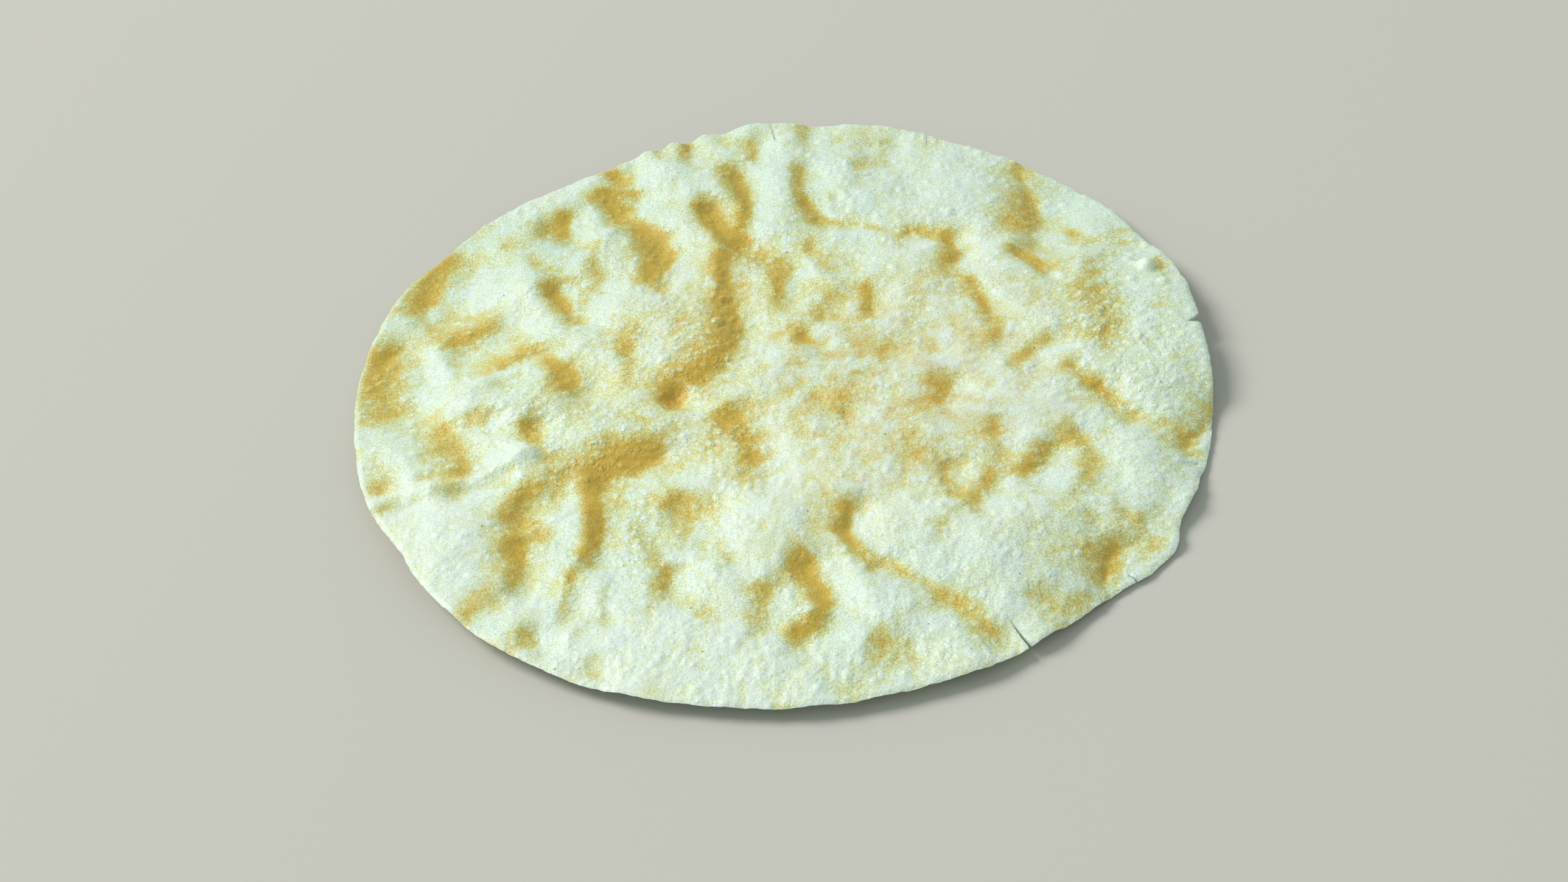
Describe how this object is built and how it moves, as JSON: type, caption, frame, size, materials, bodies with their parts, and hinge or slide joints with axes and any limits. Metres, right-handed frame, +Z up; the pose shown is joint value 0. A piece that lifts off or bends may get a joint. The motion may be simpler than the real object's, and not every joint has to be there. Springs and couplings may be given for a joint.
{
  "type": "papadum",
  "caption": "Thin round fried papadum, a wavy sheet of lentil dough with folds, blisters, a crimped far rim and small cracks at the edge; it lies on a level surface.",
  "frame": {"origin": "under the middle of the round, on the level surface that it lies on", "axes": "+Z up; +X to the round's right and +Y to its far side, where the crimped rim and the longest crack are"},
  "size_m": [0.1994, 0.2004, 0.0095],
  "materials": {
    "fried_dough": "fried lentil dough, pale cream where it is flat and golden in the hollows, blistered, with a faint oily sheen"
  },
  "bodies": {
    "root": {"papadum": "fried_dough"}
  },
  "joints": []
}
